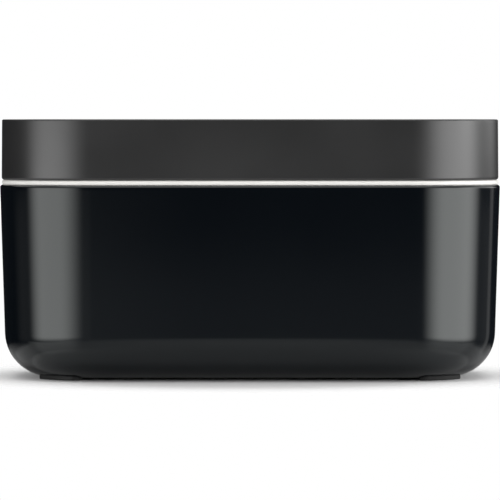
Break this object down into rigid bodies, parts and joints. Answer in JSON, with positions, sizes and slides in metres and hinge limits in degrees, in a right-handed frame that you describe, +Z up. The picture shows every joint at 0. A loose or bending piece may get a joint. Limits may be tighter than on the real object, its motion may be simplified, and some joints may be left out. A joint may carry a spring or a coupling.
{
  "type": "lidded lunch box",
  "caption": "Rounded metal lunch box with a drafted body on corner pads, a hung inner food tray and a lift-off lid with seals.",
  "frame": {"origin": "under the middle of the box, on the surface that the pads stand on", "axes": "+X along the length, -Y towards the front that the picture shows, +Z up"},
  "size_m": [0.22, 0.12, 0.1139],
  "materials": {
    "body_lacquer": "glossy blue-black lacquer",
    "foot_rubber": "matte black rubber",
    "tray_white": "satin ivory white plastic",
    "seal_grey": "soft translucent grey silicone",
    "lid_charcoal": "fine matte charcoal plastic"
  },
  "bodies": {
    "body": {"body_shell": "body_lacquer", "foot_front_left": "foot_rubber", "foot_front_right": "foot_rubber", "foot_back_left": "foot_rubber", "foot_back_right": "foot_rubber"},
    "tray": {"food_tray": "tray_white", "tray_seal": "seal_grey"},
    "lid": {"lid_cover": "lid_charcoal", "lid_seal": "seal_grey"}
  },
  "joints": [
    {"name": "tray_lift", "type": "slide", "parent": "body", "child": "tray", "axis": [0, 0, 1], "range_m": [0, 0.09]},
    {"name": "lid_lift", "type": "slide", "parent": "tray", "child": "lid", "axis": [0, 0, 1], "range_m": [0, 0.1]}
  ]
}
